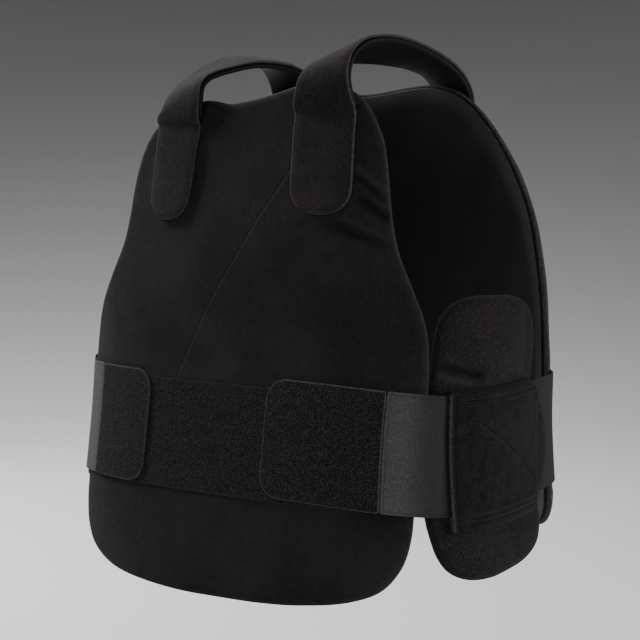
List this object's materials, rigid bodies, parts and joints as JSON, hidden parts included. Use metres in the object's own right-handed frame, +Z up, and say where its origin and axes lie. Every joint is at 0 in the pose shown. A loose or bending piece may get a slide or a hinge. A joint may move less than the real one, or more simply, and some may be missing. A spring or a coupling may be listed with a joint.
{
  "type": "concealable bulletproof vest",
  "caption": "Concealable soft body-armour vest: curved padded front and back panels joined by padded shoulder straps and wide elastic waist straps with side pads.",
  "frame": {"origin": "on the centre line between the shoulder straps, level with the underside of the strap tops, where the vest rests on the shoulders that carry it", "axes": "+X to the wearer's left, -Y forward out of the front panel, +Z up"},
  "size_m": [0.4339, 0.3101, 0.4838],
  "materials": {
    "brushed_cloth": "black brushed nylon with a short fuzzy nap",
    "lining_cloth": "smooth black twill lining with a faint sheen",
    "strap_lining": "black napped cloth over thin padding",
    "loop_tape": "coarse black loop tape, matt and speckled",
    "hook_tape": "dark grey moulded hook tape",
    "elastic": "dark grey woven elastic with fine ribs along its length",
    "sleeve_cloth": "plain black woven cloth with folded hems"
  },
  "bodies": {
    "root": {"front_carrier": "brushed_cloth", "front_lining": "lining_cloth", "front_loop_band": "loop_tape", "back_carrier": "brushed_cloth", "back_lining": "lining_cloth", "shoulder_strap_left": "brushed_cloth", "shoulder_strap_right": "brushed_cloth", "shoulder_lining_left": "strap_lining", "shoulder_lining_right": "strap_lining", "shoulder_hook_left": "hook_tape", "shoulder_hook_right": "hook_tape", "waist_tab_left": "loop_tape", "waist_tab_right": "loop_tape", "waist_elastic_left": "elastic", "waist_elastic_right": "elastic", "side_sleeve_left": "sleeve_cloth", "side_sleeve_right": "sleeve_cloth", "side_pad_left": "brushed_cloth", "side_pad_right": "brushed_cloth"}
  },
  "joints": []
}
